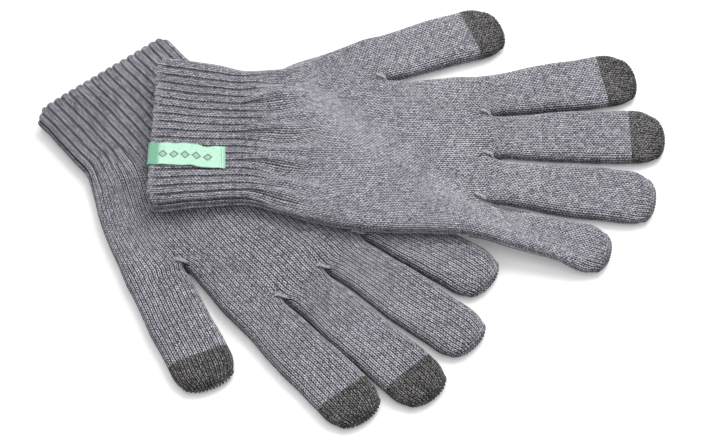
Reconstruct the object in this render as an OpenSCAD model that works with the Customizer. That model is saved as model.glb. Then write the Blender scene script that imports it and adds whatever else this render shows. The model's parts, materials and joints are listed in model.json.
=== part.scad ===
// A pair of knitted touchscreen gloves lying with their backs up, the right
// glove across the left one. Each glove is a set of hollow knitted tubes:
// a ribbed cuff, the hand below and above the thumb's fork, and five finger
// sleeves, three of them ending in a cap of conductive yarn.
//
// Glove frame: X runs from the cuff's mouth to the fingertips, Y runs towards
// the thumb and Z runs up, away from the palm's face.

/* [Hand] */
// Length of the ribbed cuff
cuff_length = 46; // [38:1:52]
// Height of the thick turned edge at the cuff's mouth
welt_length = 3.5; // [2:0.5:6]
// Width of the right cuff's mouth, which is spread open
right_mouth_width = 86; // [80:1:92]
// Width of the left cuff's mouth
left_mouth_width = 77; // [74:1:84]
// How far the right cuff's mouth slants, per millimetre of its width
right_mouth_slant = 0.06; // [0:0.01:0.08]
// Width of the waist, where the cuff meets the hand
waist_width = 78; // [72:1:84]
// How far the little finger's side swells out beyond the waist
heel_swell = 18; // [16:0.5:24]
// How much the thumb's side widens per millimetre beyond the waist
thumb_flare = 0.46; // [0.4:0.01:0.5]

/* [Fingers] */
// Length of the thumb, from its root to its tip
thumb_length = 65; // [58:0.5:70]
// Length of the index finger
index_length = 73; // [66:0.5:80]
// Length of the middle finger
middle_length = 80.5; // [72:0.5:86]
// Length of the ring finger
ring_length = 76.5; // [70:0.5:82]
// Length of the little finger
little_length = 62; // [56:0.5:68]
// Width of a flat finger at its root
finger_root_width = 23.6; // [21:0.1:23.8]
// Width of a left finger at its widest, near the tip
left_finger_width = 27; // [24:0.5:27]
// Width of a right finger at its widest, where they lie further apart
right_finger_width = 29.5; // [24:0.5:30]
// Width of the thumb at its root
thumb_root_width = 27; // [24:0.5:28]
// Length of a conductive fingertip cap
tip_length = 15.5; // [12:0.5:20]

/* [Cloth] */
// Thickness of the knitted wall
wall = 1.3; // [1:0.1:1.6]
// Thickness of the turned edge's wall
welt_wall = 2.1; // [1.8:0.1:2.6]
// Thickness of a finger lying flat
finger_thickness = 8; // [7.5:0.1:9]
// Thickness of the hand lying flat
palm_thickness = 9; // [8:0.1:10]
// Thickness of the left cuff at its mouth
left_cuff_thickness = 12; // [11.5:0.5:13]
// Thickness of the right cuff at its mouth, which stands a little open
right_cuff_thickness = 14; // [12:0.5:16]
// Distance over which the right glove drops off the left glove's edge
fall_width = 27; // [24:1:50]

/* [Label] */
// Width of the woven label tape
label_width = 12.5; // [9:0.5:16]
// Length of the label on the back of the cuff
label_length = 33; // [24:1:38]
// Length of the label's end inside the cuff
label_tuck = 7; // [5:0.5:7.5]

/* [Hidden] */

yarn_grey = [0.31, 0.31, 0.34];
tip_grey = [0.12, 0.115, 0.11];
label_green = [0.45, 0.86, 0.62];
thread_grey = [0.45, 0.46, 0.48];
elastic_white = [0.8, 0.8, 0.78];

// Where each glove's mouth centre lies on the table, and which way it points
left_place = [-116.1, 75.4];
left_turn = -50.7;
right_place = [-88.6, 34.9];
right_turn = 1.3;

// Finger numbers
THUMB = 0;
INDEX = 1;
MIDDLE = 2;
RING = 3;
LITTLE = 4;
lengths = [thumb_length, index_length, middle_length, ring_length, little_length];
// Root centres and directions, in the glove frame, as each glove lies
left_roots = [[107, 49], [152, 26.5], [154.5, 2], [150, -22.5], [144.5, -46.5]];
left_directions = [15.5, 0, -3.7, -9.2, -15];
right_roots = [[101, 49.5], [150.5, 26.5], [152.5, 2], [150, -24], [143, -49.5]];
right_directions = [19, 8, -1.5, -9.9, -16.6];

waist_station = 42;
palm_station = 112;
dome_length = 13;
body_gap = 0.4;
stack_gap = 1.2;
side_points = 5;
root_share = 0.95;
tip_taper = 0.88;
tip_flattening = 0.3;
widest_share = 0.55;
bar_radius = 0.35;
bar_length = 4;
bar_setback = 3;
label_across = -19.5;
label_gap = 0.35;
label_wall = 0.4;
stitch_count = 5;
stitch_length = 1.5;
stitch_radius = 0.25;
stitch_setback = 2.5;

function roots(side) = side == "left" ? left_roots : right_roots;
function directions(side) = side == "left" ? left_directions : right_directions;
function mouth_width(side) = side == "left" ? left_mouth_width : right_mouth_width;
function finger_width(side) = side == "left" ? left_finger_width : right_finger_width;
function mouth_slant(side) = side == "left" ? 0 : right_mouth_slant;
function cuff_thickness(side) = side == "left" ? left_cuff_thickness : right_cuff_thickness;
function lerp(a, b, t) = a + (b - a) * t;
function smooth(t) = let (c = max(0, min(1, t))) c * c * (3 - 2 * c);

// The hand's outline: the little finger's side, then the thumb's side
function flare(side, x) = (mouth_width(side) - waist_width) / 2 * (1 - smooth(x / waist_station));
function low_edge(side, x) = -waist_width / 2 - 2 - flare(side, x)
    - heel_swell * sin(90 * max(0, min(1, (x - waist_station) / (palm_station - waist_station))));
function high_edge(side, x) = waist_width / 2 - 2 + flare(side, x)
    + thumb_flare * max(0, x - waist_station + 1);

// Thickness of a glove lying flat, by station
function thickness(side, x) = lookup(x, [[0, cuff_thickness(side)],
    [cuff_length, palm_thickness + 0.5], [palm_station, palm_thickness],
    [palm_station + 40, finger_thickness + 0.3], [palm_station + 80, finger_thickness]]);

// Root line of a finger: the station at a distance v across the hand
function root_line(side, f, v) =
    roots(side)[f].x - (v - roots(side)[f].y) * tan(directions(side)[f]);
function fork_station(side) = root_line(side, THUMB, fork_side(side));
function fork_side(side) = roots(side)[THUMB].y - thumb_root_width / 2 * root_share;
function hand_lower_end(side, v) = min(fork_station(side), root_line(side, THUMB, v));
function knuckle_line(side, v) = min([for (f = [INDEX : LITTLE]) root_line(side, f, v)]);

// Height of the right glove's underside: it rides on the left glove and drops
// to the table beyond the left glove's little finger side
function turned(p, a) = [p.x * cos(a) - p.y * sin(a), p.x * sin(a) + p.y * cos(a)];
function in_left_glove(p) =
    let (q = turned(turned(p, right_turn) + right_place - left_place, -left_turn)) [q.x, -q.y];
function left_outer_edge(s) =
    let (root = left_roots[LITTLE])
    s < root.x ? low_edge("left", s)
        : root.y - finger_width("left") / 2 + (s - root.x) * tan(left_directions[LITTLE]);
function beyond_left_glove(q) =
    max(left_outer_edge(q.x) - q.y, q.x - left_roots[LITTLE].x - little_length + 2);
function lift(side, p) = side == "left" ? 0
    : let (q = in_left_glove(p))
    (thickness("left", q.x) + stack_gap) * (1 - smooth((beyond_left_glove(q) + 0.5) / fall_width));
function draped(side, p) = [p.x, p.y, p.z + lift(side, p)];

// Rounded flat cross-section between two edges: [across, height] points
function section(lo, hi, base, top, across) =
    let (r = (top - base) / 2, e = min(r, (hi - lo) / 2 - 0.3), a = 180 / (side_points + 1))
    concat(
        [for (i = [0 : across]) [lerp(lo + e, hi - e, i / across), base]],
        [for (i = [1 : side_points]) [hi - e + e * sin(a * i), base + r - r * cos(a * i)]],
        [for (i = [0 : across]) [lerp(hi - e, lo + e, i / across), top]],
        [for (i = [1 : side_points]) [lo + e - e * sin(a * i), base + r + r * cos(a * i)]]);
function hand_ring(side, x, inset, across) =
    section(low_edge(side, x) + inset, high_edge(side, x) - inset,
        inset, thickness(side, x) - inset, across);
// A point of the cuff, whose mouth may slant
function slanted(side, p) = draped(side,
    [p.x + mouth_slant(side) * p.y * (1 - smooth(p.x / cuff_length)), p.y, p.z]);
// A ring of 3-D points at one station
function stand(side, x, ring) = [for (p = ring) slanted(side, [x, p.x, p.y])];

// Faces of a lofted hollow shell with the given rings and points in a ring
function wall_faces(start, rings, n) = [for (i = [0 : rings - 2], k = [0 : n - 1])
    let (a = start + i * n, b = a + n, j = (k + 1) % n)
    each [[a + k, a + j, b + j], [a + k, b + j, b + k]]];
function backwards(faces) = [for (f = faces) [for (i = [len(f) - 1 : -1 : 0]) f[i]]];
function rim_faces(outer, inner, n) = [for (k = [0 : n - 1])
    let (j = (k + 1) % n)
    each [[outer + k, inner + k, inner + j], [outer + k, inner + j, outer + j]]];
function disc_face(start, n) = [[for (k = [0 : n - 1]) start + k]];

// A hollow tube from matching lists of outer and inner rings, open at its
// start, and closed at its far end when closed is true
module shell(outer, inner, closed = false) {
    n = len(outer[0]);
    rings = len(outer);
    inside = rings * n;
    last = (rings - 1) * n;
    polyhedron(
        points = [for (rings_of = [outer, inner], ring = rings_of, p = ring) p],
        faces = concat(
            wall_faces(0, rings, n),
            backwards(wall_faces(inside, rings, n)),
            rim_faces(0, inside, n),
            closed
                ? concat(disc_face(last, n), backwards(disc_face(inside + last, n)))
                : backwards(rim_faces(last, inside + last, n))));
}

// Moves a glove's frame to where the glove lies
module posed(side) {
    if (side == "left")
        translate([left_place.x, left_place.y, 0]) rotate(left_turn) mirror([0, 1, 0]) children();
    else
        translate([right_place.x, right_place.y, 0]) rotate(right_turn) children();
}

module cuff_welt(side) {
    stations = [0, welt_length / 2, welt_length];
    color(yarn_grey) posed(side) shell(
        [for (x = stations) stand(side, x, hand_ring(side, x, x == 0 ? 0.5 : 0, 8))],
        [for (x = stations) stand(side, x, hand_ring(side, x, welt_wall - (x == 0 ? 0.5 : 0), 8))]);
}

module cuff(side) {
    stations = [for (t = [0 : 0.25 : 1]) lerp(welt_length, cuff_length, t)];
    color(yarn_grey) posed(side) shell(
        [for (x = stations) stand(side, x, hand_ring(side, x, 0, 8))],
        [for (x = stations) stand(side, x, hand_ring(side, x, wall, 8))]);
}

// A thin closed loop of elastic yarn lying on the cuff's inner face
module elastic_loop(side, x) {
    sides = 6;
    yarn_radius = 0.45;
    path = hand_ring(side, x, wall + yarn_radius + 0.15, 8);
    n = len(path);
    points = [for (k = [0 : n - 1])
        let (
            chord = path[(k + 1) % n] - path[(k + n - 1) % n],
            out = [chord.y, -chord.x] / norm(chord))
        for (b = [0 : sides - 1])
            let (a = 360 * b / sides, p = path[k] + out * yarn_radius * cos(a))
            slanted(side, [x + yarn_radius * sin(a), p.x, p.y])];
    polyhedron(points = points, faces = [for (k = [0 : n - 1], b = [0 : sides - 1])
        let (c = (k + 1) % n * sides, d = (b + 1) % sides, a = k * sides)
        each [[a + b, c + d, a + d], [a + b, c + b, c + d]]]);
}

module elastic_yarn(side) {
    color(elastic_white) posed(side) for (x = [8, 18, 28]) elastic_loop(side, x);
}

module hand_lower(side) {
    fork = fork_station(side);
    middle = (cuff_length + hand_lower_end(side, 60)) / 2;
    stations = [cuff_length, lerp(cuff_length, middle, 0.5), middle, lerp(middle, fork, 0.6)];
    function last_ring(inset) = [for (p = hand_ring(side, fork - 3, inset, 10))
        draped(side, [hand_lower_end(side, p.x), p.x, p.y])];
    color(yarn_grey) posed(side) shell(
        concat([for (x = stations) stand(side, x, hand_ring(side, x, 0, 10))], [last_ring(0)]),
        concat([for (x = stations) stand(side, x, hand_ring(side, x, wall, 10))], [last_ring(wall)]));
}

// The four-finger tube between the thumb's fork and the knuckles
module hand_upper(side) {
    fork = fork_station(side);
    knuckle = knuckle_line(side, 14);
    index_side = roots(side)[INDEX].y + finger_root_width / 2 + 0.5;
    function tube_ring(x, inset) = section(low_edge(side, x) + inset + (x - fork) * 0.03,
        lerp(fork_side(side) - 0.4, index_side, smooth((x - fork) / (knuckle - fork))) - inset,
        inset, thickness(side, x) - inset, 12);
    function last_ring(inset) = [for (p = tube_ring(knuckle, inset))
        draped(side, [knuckle_line(side, p.x), p.x, p.y])];
    stations = [fork, lerp(fork, knuckle, 0.25), lerp(fork, knuckle, 0.5), lerp(fork, knuckle, 0.7)];
    color(yarn_grey) posed(side) shell(
        concat([for (x = stations) stand(side, x, tube_ring(x, 0))], [last_ring(0)]),
        concat([for (x = stations) stand(side, x, tube_ring(x, wall))], [last_ring(wall)]));
}

function finger_root(f) = f == THUMB ? thumb_root_width : finger_root_width;
// How far into the rounded end a distance s from the root lies, from 0 to 1
function dome(f, s) = max(0, min(1, (s - lengths[f] + dome_length) / dome_length));
// Half the width of a finger at a distance s from its root
function half_width(side, f, s) = sqrt(1 - tip_taper * pow(dome(f, s), 2.4)) / 2
    * lerp(finger_root(f), finger_width(side), smooth(s / (widest_share * lengths[f])));
function finger_ring(side, f, s, inset) =
    let (
        root = roots(side)[f],
        a = directions(side)[f],
        t = thickness(side, root.x + s) * (1 - tip_flattening * pow(dome(f, s), 2)),
        w = half_width(side, f, s) - inset)
    [for (p = section(-w, w, inset, t - inset, 3))
        draped(side, concat(root + turned([s, p.x], a), p.y))];

// A stretch of a finger from one distance to another; a closed one ends at the tip
module finger_tube(side, f, from, to, closed) {
    steps = closed ? 6 : 5;
    shares = [for (i = [0 : steps]) closed ? sin(90 * i / steps) : i / steps];
    inner_to = closed ? to - wall : to;
    conductive = to > lengths[f] - tip_length && f < RING;
    color(conductive ? tip_grey : yarn_grey) posed(side) shell(
        [for (t = shares) finger_ring(side, f, lerp(from, to, t), 0)],
        [for (t = shares) finger_ring(side, f, lerp(from, inner_to, t), wall)],
        closed);
}

module sleeve(side, f) {
    capped = f < RING;
    finger_tube(side, f, body_gap, lengths[f] - (capped ? tip_length : 0), !capped);
}

module fingertip(side, f) {
    finger_tube(side, f, lengths[f] - tip_length, lengths[f], true);
}

// The small bars of yarn that bind each fork between two fingers
module crotch_stitches(side) {
    forks = concat([[fork_station(side) - bar_setback, fork_side(side)]],
        [for (f = [INDEX : RING])
            let (v = (roots(side)[f].y + roots(side)[f + 1].y) / 2)
            [knuckle_line(side, v) - bar_setback, v]]);
    color(yarn_grey) posed(side) for (p = forks) {
        top = thickness(side, p.x) + max([for (v = [-2, 0, 2], x = [-1, 1])
            lift(side, p + [x, v])]);
        translate([p.x, p.y - bar_length / 2, top + bar_radius + 0.1])
            rotate([-90, 0, 0]) cylinder(r = bar_radius, h = bar_length, $fn = 16);
    }
}

// The label's line over the cuff's edge: [station, height above the underside]
function cuff_top(x) = thickness("right", max(0, x));
label_line = concat(
    [for (x = [label_length : -label_length / 6 : 1]) [x, cuff_top(x) + label_gap]],
    let (c = cuff_top(0) - welt_wall / 2, r = welt_wall / 2 + label_gap)
        [for (a = [90 : 30 : 270]) [r * cos(a) + 0.2, c + r * sin(a)]],
    [for (t = [0.3, 0.6, 1]) [label_tuck * t, cuff_top(label_tuck * t) - welt_wall - label_gap]]);

module label() {
    n = len(label_line);
    points = [for (i = [0 : n - 1])
        let (
            along = label_line[min(n - 1, i + 1)] - label_line[max(0, i - 1)],
            out = [along.y, -along.x] / norm(along) * -label_wall / 2,
            base = label_line[i])
        for (c = [[-1, -1], [1, -1], [1, 1], [-1, 1]])
            let (q = base + out * c.y)
            slanted("right", [q.x, label_across + c.x * label_width / 2, q.y])];
    color(label_green) posed("right") polyhedron(points = points, faces = concat(
        backwards(wall_faces(0, n, 4)), [[0, 1, 2, 3]], [[for (k = [3 : -1 : 0]) (n - 1) * 4 + k]]));
}

module label_stitches() {
    x = label_length - stitch_setback;
    face = cuff_top(x) + label_gap + label_wall / 2;
    color(thread_grey) posed("right") for (i = [0 : stitch_count - 1]) {
        v = label_across + (i - (stitch_count - 1) / 2) * label_width / (stitch_count + 0.5);
        drape = max(lift("right", [x, v - 1]), lift("right", [x, v + 1]));
        translate([x, v - stitch_length / 2, face + 2 * stitch_radius + drape])
            rotate([-90, 0, 0]) cylinder(r = stitch_radius, h = stitch_length, $fn = 16);
    }
}

cuff("left");  // left_cuff
cuff_welt("left");  // left_cuff_welt
elastic_yarn("left");  // left_elastic_yarn
hand_lower("left");  // left_hand_lower
hand_upper("left");  // left_hand_upper
sleeve("left", THUMB);  // left_thumb_sleeve
sleeve("left", INDEX);  // left_index_sleeve
sleeve("left", MIDDLE);  // left_middle_sleeve
sleeve("left", RING);  // left_ring_sleeve
sleeve("left", LITTLE);  // left_little_sleeve
fingertip("left", THUMB);  // left_thumb_tip
fingertip("left", INDEX);  // left_index_tip
fingertip("left", MIDDLE);  // left_middle_tip
crotch_stitches("left");  // left_crotch_stitches
cuff("right");  // right_cuff
cuff_welt("right");  // right_cuff_welt
elastic_yarn("right");  // right_elastic_yarn
hand_lower("right");  // right_hand_lower
hand_upper("right");  // right_hand_upper
sleeve("right", THUMB);  // right_thumb_sleeve
sleeve("right", INDEX);  // right_index_sleeve
sleeve("right", MIDDLE);  // right_middle_sleeve
sleeve("right", RING);  // right_ring_sleeve
sleeve("right", LITTLE);  // right_little_sleeve
fingertip("right", THUMB);  // right_thumb_tip
fingertip("right", INDEX);  // right_index_tip
fingertip("right", MIDDLE);  // right_middle_tip
crotch_stitches("right");  // right_crotch_stitches
label();  // right_label
label_stitches();  // right_label_stitches
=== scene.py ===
import json
import math

import bpy
import numpy as np
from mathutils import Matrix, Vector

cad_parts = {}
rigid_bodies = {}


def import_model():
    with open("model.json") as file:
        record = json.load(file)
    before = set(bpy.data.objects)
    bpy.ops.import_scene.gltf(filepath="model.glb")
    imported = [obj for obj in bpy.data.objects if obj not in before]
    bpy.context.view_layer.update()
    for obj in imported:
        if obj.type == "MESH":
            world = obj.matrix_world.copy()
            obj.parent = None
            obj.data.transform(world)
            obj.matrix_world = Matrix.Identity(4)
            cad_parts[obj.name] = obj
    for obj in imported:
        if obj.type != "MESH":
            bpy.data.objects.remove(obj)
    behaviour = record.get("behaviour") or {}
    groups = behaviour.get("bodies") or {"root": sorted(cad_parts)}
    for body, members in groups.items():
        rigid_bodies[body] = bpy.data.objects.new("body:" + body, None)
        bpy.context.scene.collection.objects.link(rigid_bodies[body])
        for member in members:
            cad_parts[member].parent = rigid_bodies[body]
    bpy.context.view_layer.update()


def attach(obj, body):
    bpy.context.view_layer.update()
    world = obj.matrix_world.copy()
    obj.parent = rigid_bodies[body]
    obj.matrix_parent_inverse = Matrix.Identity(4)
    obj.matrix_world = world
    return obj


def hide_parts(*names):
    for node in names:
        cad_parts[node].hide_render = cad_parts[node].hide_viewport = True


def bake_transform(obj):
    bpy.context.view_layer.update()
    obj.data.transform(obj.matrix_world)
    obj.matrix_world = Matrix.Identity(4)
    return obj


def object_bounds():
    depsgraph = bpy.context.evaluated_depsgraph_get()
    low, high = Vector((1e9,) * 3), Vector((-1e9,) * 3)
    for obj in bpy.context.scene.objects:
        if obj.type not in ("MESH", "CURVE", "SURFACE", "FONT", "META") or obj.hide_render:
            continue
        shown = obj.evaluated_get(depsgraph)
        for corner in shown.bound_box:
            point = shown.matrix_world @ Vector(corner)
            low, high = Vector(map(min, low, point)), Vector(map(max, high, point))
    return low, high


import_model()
rng = np.random.default_rng(11)

# ---------------------------------------------------------------- design values
CUFF, WELT, WAIST, PALM, KNUCKLE = 46.0, 3.5, 42.0, 112.0, 152.0
WAIST_WIDTH, HEEL_SWELL, THUMB_FLARE = 78.0, 18.0, 0.46
DOME, CAP = 13.0, 15.5
THUMB, INDEX, MIDDLE, RING, LITTLE = range(5)
FORKS = [(LITTLE, RING), (RING, MIDDLE), (MIDDLE, INDEX), (INDEX, THUMB)]
NAMES = ["thumb", "index", "middle", "ring", "little"]
LENGTHS = [65.0, 73.0, 80.5, 76.5, 62.0]
ROOT_WIDTHS = [27.0, 23.6, 23.6, 23.6, 23.6]
PALM_THICK, FINGER_THICK, STACK_GAP, FALL = 9.0, 8.0, 1.2, 27.0
WALL, CUFF_WALL, LIP = 1.3, 1.75, 1.05
LABEL_ACROSS, LABEL_WIDTH, LABEL_LENGTH, LABEL_TUCK = -19.5, 12.5, 33.0, 7.0
LABEL_SKEW = 0.055

# Stitches: wales to each finger's share of a face, fine columns in a wale, course pitch
SHARES = [11, 11, 11, 11, 12]  # little, ring, middle, index, thumb
FINE = 6
COURSE = 1.45
STITCH_DEPTH, RIB_DEPTH, PARTING_DEPTH, TEETH = 0.46, 1.3, 0.25, 1.05
RIB_WIDTHS = np.array([1.14, 0.72, 1.14])  # a knit wale, a purl wale, a knit wale

# Yarns: radii, the twist's length, and where the elastic runs
ELASTIC, BINDING, THREAD = 0.42, 0.46, 0.2
ELASTIC_TWIST, BINDING_TWIST, THREAD_TWIST = 2.6, 1.9, 2.0
ELASTIC_STATIONS = (8, 18, 28)
YARN_SIDES = 6

# How the cloth lies
CORNER, CORNER_WIDTH, CORNER_REACH = 2.4, 9.0, 16.0  # the cuff's corners draw back
BEND_LENGTH = 13.0  # how far along each sleeve its second end point lies; the points are worked out but not used
ROUNDNESS = 2.35  # of a fingertip's outline: 2 is an ellipse, more is fuller
WIDER = {("left", THUMB): 1.2, ("right", LITTLE): -3.0}  # single fingers' extra width
PARTING_GAP = {"left": 0.05, "right": 0.4}  # half the gap between neighbouring fingers
# PARTED also sets how dark the painted shade in the partings between wales is
PARTED = {"left": 0.85, "right": 0.18}  # how far wales stand apart: the left is stretched
SIDE_SHADE = 0.42  # how much darker the cloth is on its upright sides
WAVES = rng.uniform(0, 2 * np.pi, (6, 3))[:, :2]  # each wave's direction and phase


def lerp(a, b, t):
    return a + (b - a) * t


def smooth(t):
    t = np.clip(t, 0, 1)
    return t * t * (3 - 2 * t)


def past_waist(x):
    """How far a station lies past the waist, easing in as cloth does."""
    return 1.7 * np.log1p(np.exp((x - WAIST) / 1.7))


class Glove:
    """One glove's measures, as in the CAD design, and where it lies."""

    def __init__(self, side, place, turn, flip, mouth, cuff, wide, slant, roots, aims):
        self.side, self.place, self.flip = side, np.array(place), flip
        self.mouth, self.cuff, self.wide, self.slant = mouth, cuff, wide, slant
        self.roots, self.aims = np.array(roots, float), np.radians(aims)
        self.c, self.s = math.cos(math.radians(turn)), math.sin(math.radians(turn))
        self.fork_side = self.roots[THUMB][1] - ROOT_WIDTHS[THUMB] / 2 * 0.95
        self.fork = self.root_line(THUMB, self.fork_side)
        # Crotch points, from the little finger's to the thumb's, then outer corners
        self.crotches = []
        for f in (RING, MIDDLE, INDEX):
            v = (self.roots[f][1] + self.roots[f + 1][1]) / 2
            x = (self.root_line(f, v) + self.root_line(f + 1, v)) / 2
            self.crotches.append(np.array([x, v]))
        self.crotches.append(np.array([self.fork, self.fork_side]))
        self.little_corner = self.edge_at_root(LITTLE, -1)
        self.index_corner = self.edge_at_root(INDEX, 1)
        self.thumb_corner = self.edge_at_root(THUMB, 1)

    def root_line(self, f, v):
        return self.roots[f][0] - (v - self.roots[f][1]) * math.tan(self.aims[f])

    def axes(self, f):
        c, s = math.cos(self.aims[f]), math.sin(self.aims[f])
        return np.array([c, s]), np.array([-s, c])

    def edge_at_root(self, f, sign):
        return self.roots[f] + sign * ROOT_WIDTHS[f] / 2 * self.axes(f)[1]

    def flare(self, x):
        return (self.mouth - WAIST_WIDTH) / 2 * (1 - smooth(x / WAIST))

    def low(self, x):
        swell = np.sin(np.pi / 2 * np.clip(past_waist(x) / (PALM - WAIST), 0, 1))
        return -WAIST_WIDTH / 2 - 2 - self.flare(x) - HEEL_SWELL * swell

    def high(self, x):
        return WAIST_WIDTH / 2 - 2 + self.flare(x) + THUMB_FLARE * past_waist(x + 1)

    def thick_plain(self, x):
        return np.interp(x, [0, CUFF, PALM, PALM + 40, PALM + 80],
                         [self.cuff, PALM_THICK + 0.5, PALM_THICK, FINGER_THICK + 0.3, FINGER_THICK])

    def thick(self, x):
        return sum(self.thick_plain(x + d) for d in (-8, -4, 0, 4, 8)) / 5

    def rows(self, p):
        """Glove frame to the row frame, across the table only, in millimetres."""
        x, y = p[..., 0], p[..., 1] * self.flip
        return np.stack([x * self.c - y * self.s, x * self.s + y * self.c], -1) + self.place

    def own(self, q):
        q = q - self.place
        return np.stack([q[..., 0] * self.c + q[..., 1] * self.s,
                         (q[..., 1] * self.c - q[..., 0] * self.s) * self.flip], -1)

    def lift(self, p):
        """How high this glove's underside lies: the right one rides on the left one."""
        if self.side == "left":
            return np.zeros(p.shape[:-1])
        under = GLOVES["left"]
        q = under.own(self.rows(p))
        root, aim = under.roots[LITTLE], under.aims[LITTLE]
        edge = np.where(q[..., 0] < root[0], under.low(q[..., 0]),
                        root[1] - under.wide / 2 + (q[..., 0] - root[0]) * math.tan(aim))
        beyond = np.maximum(edge - q[..., 1], q[..., 0] - root[0] - LENGTHS[LITTLE] + 2)
        fall = sum(smooth((beyond + 0.5 + d) / FALL) for d in (-3, 0, 3)) / 3
        return (under.thick_plain(q[..., 0]) + STACK_GAP) * (1 - fall)

    def world(self, p):
        """Points with the drape already in them, to the row frame in metres."""
        return np.concatenate([self.rows(p), p[..., 2:]], -1) / 1000


GLOVES = {
    "left": Glove("left", (-116.1, 75.4), -50.7, -1, 77.0, 12.0, 27.0, 0.0,
                  [[107, 49], [152, 26.5], [154.5, 2], [150, -22.5], [144.5, -46.5]],
                  [15.5, 0, -3.7, -9.2, -15]),
    "right": Glove("right", (-88.6, 34.9), 1.3, 1, 86.0, 14.0, 29.5, 0.06,
                   [[101, 49.5], [150.5, 26.5], [152.5, 2], [150, -24], [143, -49.5]],
                   [19, 8, -1.5, -9.9, -16.6]),
}

# ---------------------------------------------------------------- cross-sections
def wales(n):
    """Wale positions across a face of n wales, FINE to each."""
    return np.arange(n * FINE + 1) / FINE


def ribbed_share(a, n):
    """Where wale position a lies across a ribbed face of n wales, from 0 to 1."""
    ends = np.concatenate([[0], np.cumsum(np.tile(RIB_WIDTHS, n // 3))])
    return np.interp(a, np.arange(n + 1), ends / ends[-1])


def path(lo, hi, t, cuts, counts, webs, ribbed=None):
    """The upper half of a flat tube's section in each row, from the middle of its low
    side over the top to the middle of its high side: distances across and heights.
    A web side stands straight up, where two fingers part; another side is round."""
    n = sum(counts) + 4
    a = wales(n)
    r = t / 2
    side = [r if w else r * math.pi / 2 for w in webs]
    inset = [0 * r if w else r for w in webs]
    total = side[0] + (hi - lo - inset[0] - inset[1]) + side[1]
    marks, places = [0], [0 * r]
    if webs[0]:
        marks.append(2)
        places.append(side[0])
    for count, cut in zip(np.cumsum(counts)[:-1], cuts):
        marks.append(2 + count)
        places.append(side[0] + cut - lo - inset[0])
    if webs[1]:
        marks.append(n - 2)
        places.append(total - side[1])
    marks.append(n)
    places.append(total)
    k = np.clip(np.searchsorted(marks, a, side="right") - 1, 0, len(marks) - 2)
    marks, places = np.array(marks, float), np.stack(places, 1)
    share = (a - marks[k]) / (marks[k + 1] - marks[k])
    along = places[:, k] + (places[:, k + 1] - places[:, k]) * share
    total, r = total[:, None], r[:, None]
    if ribbed is not None:
        along = lerp(along, total * ribbed_share(a, n)[None], ribbed[:, None])
    v = lo[:, None] + inset[0][:, None] + along - side[0][:, None]
    z = np.broadcast_to(2 * r, v.shape).copy()
    for which, length, web, sign, edge in (
        (along < side[0][:, None], along, webs[0], 1, lo),
        (along > total - side[1][:, None], total - along, webs[1], -1, hi),
    ):
        turn = length / r
        bend = 0 * turn if web else r * (1 - np.cos(turn))
        rise = length if web else r * np.sin(turn)
        v = np.where(which, edge[:, None] + sign * bend, v)
        z = np.where(which, r + rise, z)
    return v, z


def ring(upper, lower):
    """Joins an upper half and a lower half, both low to high, into closed rings."""
    return np.concatenate([upper, lower[:, -2:0:-1]], 1)


# ------------------------------------------------------------------- the stitches
def knit(u, w):
    """Plain knit's height, 0 on the strands and -1 between them. Each stitch is a V
    of two legs with its foot towards the cuff, and the next V stands in it."""
    c, v = np.abs(u % 1 - 0.5), w % 1
    best = np.zeros(np.broadcast(c, v).shape)
    for m in (-1, 0, 1):
        t = v - m
        leg = 0.13 + 0.24 * np.clip(t, -0.3, 1.3)
        across = np.clip(1 - ((c - leg) / 0.22) ** 2, 0, 1)
        along = np.clip(1 - ((t - 0.5) / 0.85) ** 2, 0, 1)
        best = np.maximum(best, np.sqrt(across * along))
    return best - 1


def rib(a):
    """A 2 by 1 rib's height across the wales, 0 on the knit ones and -1 in the purl."""
    y = np.abs((a + 1.5) % 3 - 1.5)
    return -smooth((y - 0.45) / 1.0)


def parting(a):
    """The line between two neighbouring wales, from 0 to 1."""
    return np.exp(-((((a + 0.5) % 1 - 0.5) / 0.13) ** 2))


def unevenness(x, v):
    """The slack of cloth that lies by itself: broad low waves."""
    h = 0
    for i, (a, b) in enumerate(WAVES):
        length = 18 + 9 * i
        h = h + np.sin(2 * np.pi * (x * np.cos(a) + v * np.sin(a)) / length + b) * (0.09 + 0.03 * i)
    return h * 0.8


def puckers(x, a):
    """Gathers that run out of the rib into the hand."""
    near = np.exp(-(((x - 59) / 13) ** 2)) * smooth((x - 30) / 14)
    drift = 0.05 * (x - 56)
    gathers = [(1.0, 6, 0.8 + drift), (2.0, 11.7, 2.1 - drift), (0.45, 4.1, 4.0)]
    return near * sum(height * np.cos(2 * np.pi * a / span + phase) for height, span, phase in gathers)


def dimples(glove, x, v):
    """The pull of the stitches that bind each fork: a hollow on the cuff's side, with a
    short crease in it, and a sharp parting that opens between the two fingers."""
    h = 0
    for (cx, cv), (f, g) in zip(glove.crotches, FORKS):
        h = h - 1.1 * np.exp(-((x - cx + 4) ** 2 + (v - cv) ** 2) / (2 * 3.6 ** 2))
        along = (x - cx + 4.4) * 0.75 - (v - cv + 0.6) * 0.66
        off = (x - cx + 4.4) * 0.66 + (v - cv + 0.6) * 0.75
        h = h - 1.0 * np.exp(-((along / 2.0) ** 2) - (off / 0.7) ** 2)
        aim = (glove.aims[f] + glove.aims[g]) / 2
        ahead = (x - cx) * np.cos(aim) + (v - cv) * np.sin(aim)
        aside = (v - cv) * np.cos(aim) - (x - cx) * np.sin(aim)
        between = smooth((ahead + 0.5) / 2) * (1 - smooth((ahead - 4) / 8))
        h = h - 2.2 * np.exp(-((aside / 1.1) ** 2)) * between
    return h


def wobble(x, v):
    """How far cloth lies aside of where it was drawn."""
    return 0.22 * np.sin(x * 0.17 + v * 0.05 + 1.0) + 0.07 * np.sin(x * 0.41 - v * 0.09 + 4.0)


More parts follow.
